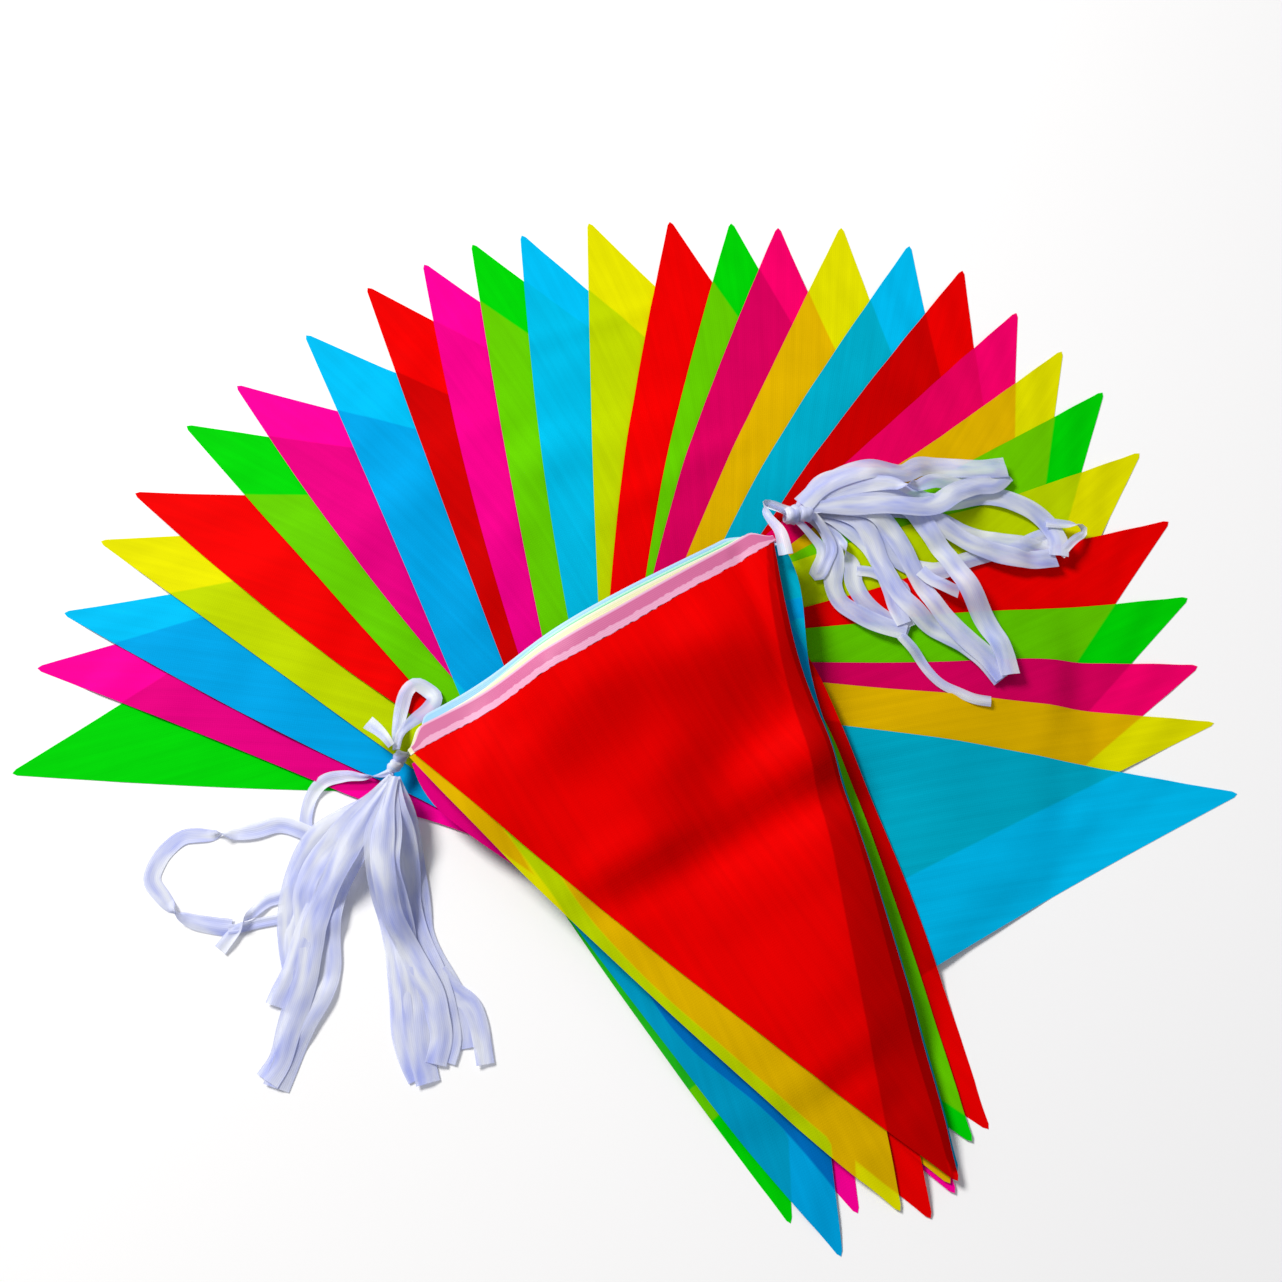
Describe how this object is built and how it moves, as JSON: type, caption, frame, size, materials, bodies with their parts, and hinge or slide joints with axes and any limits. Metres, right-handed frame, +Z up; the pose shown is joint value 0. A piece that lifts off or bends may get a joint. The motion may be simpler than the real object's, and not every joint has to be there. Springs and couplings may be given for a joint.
{
  "type": "fabric bunting",
  "caption": "String of plain coloured cloth pennants on white tape, some fanned out and some piled on top, with the spare tape gathered, looped and knotted at both ends of the pile.",
  "frame": {"origin": "centre of the bounding box in plan, on the surface that the bunting lies on", "axes": "+Z up from that surface; +Y away from the viewer, towards the middle of the fan's outer edge; +X to the viewer's right"},
  "size_m": [0.5836, 0.527, 0.0545],
  "materials": {
    "cloth_red": "thin plain-woven polyester, slightly sheer, satin",
    "cloth_yellow": "thin plain-woven polyester, slightly sheer, satin",
    "cloth_green": "thin plain-woven polyester, slightly sheer, satin",
    "cloth_blue": "thin plain-woven polyester, slightly sheer, satin",
    "cloth_pink": "thin plain-woven polyester, slightly sheer, satin",
    "tape": "thin white woven tape, slightly sheer, with a soft sheen"
  },
  "bodies": {
    "root": {"flag_01_green": "cloth_green", "flag_02_pink": "cloth_pink", "flag_03_blue": "cloth_blue", "flag_04_yellow": "cloth_yellow", "flag_05_red": "cloth_red", "flag_06_green": "cloth_green", "flag_07_pink": "cloth_pink", "flag_08_blue": "cloth_blue", "flag_09_red": "cloth_red", "flag_10_pink": "cloth_pink", "flag_11_green": "cloth_green", "flag_12_blue": "cloth_blue", "flag_13_yellow": "cloth_yellow", "flag_14_red": "cloth_red", "flag_15_green": "cloth_green", "flag_16_pink": "cloth_pink", "flag_17_yellow": "cloth_yellow", "flag_18_blue": "cloth_blue", "flag_19_red": "cloth_red", "flag_20_pink": "cloth_pink", "flag_21_yellow": "cloth_yellow", "flag_22_green": "cloth_green", "flag_23_yellow": "cloth_yellow", "flag_24_red": "cloth_red", "flag_25_green": "cloth_green", "flag_26_pink": "cloth_pink", "flag_27_yellow": "cloth_yellow", "flag_28_blue": "cloth_blue", "flag_29_green": "cloth_green", "flag_30_pink": "cloth_pink", "flag_31_blue": "cloth_blue", "flag_32_red": "cloth_red", "flag_33_green": "cloth_green", "flag_34_blue": "cloth_blue", "flag_35_pink": "cloth_pink", "flag_36_yellow": "cloth_yellow", "flag_37_red": "cloth_red", "flag_38_yellow": "cloth_yellow", "flag_39_red": "cloth_red", "heading_29": "tape", "heading_30": "tape", "heading_31": "tape", "heading_32": "tape", "heading_33": "tape", "heading_34": "tape", "heading_35": "tape", "heading_36": "tape", "heading_37": "tape", "heading_38": "tape", "heading_39": "tape", "tape_left": "tape", "tape_right": "tape", "knot_left": "tape", "knot_right": "tape"}
  },
  "joints": []
}
